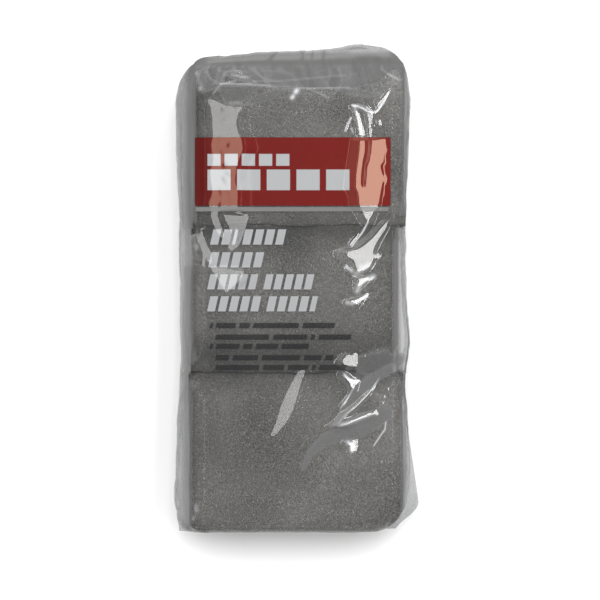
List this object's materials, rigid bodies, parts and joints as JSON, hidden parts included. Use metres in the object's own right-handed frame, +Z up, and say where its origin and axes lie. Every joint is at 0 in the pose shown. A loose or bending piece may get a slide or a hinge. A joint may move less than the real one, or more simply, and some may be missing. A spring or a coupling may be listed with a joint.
{
  "type": "steel wool pad pack",
  "caption": "Soft rectangular pads of very fine steel wool, stacked end to end in a clear film bag with a red printed panel; for smoothing and polishing wood, metal and glass.",
  "frame": {"origin": "middle of the pack's bounding box, on the surface that its back lies on", "axes": "+X across the pack to the right of its printed front, +Y towards the folded top end of the bag, +Z up, out of the printed front"},
  "size_m": [0.1246, 0.249, 0.0615],
  "materials": {
    "clear_film": "clear glossy polyethylene film, crinkled, with a red panel, a grey strip and plain white and black bars printed on its front",
    "steel_wool": "matted very fine steel fibres, soft dull grey with bright specks"
  },
  "bodies": {
    "root": {"film_bag": "clear_film", "top_pad_1": "steel_wool", "top_pad_2": "steel_wool", "top_pad_3": "steel_wool", "top_pad_4": "steel_wool", "middle_pad_1": "steel_wool", "middle_pad_2": "steel_wool", "middle_pad_3": "steel_wool", "middle_pad_4": "steel_wool", "bottom_pad_1": "steel_wool", "bottom_pad_2": "steel_wool", "bottom_pad_3": "steel_wool", "bottom_pad_4": "steel_wool"}
  },
  "joints": []
}
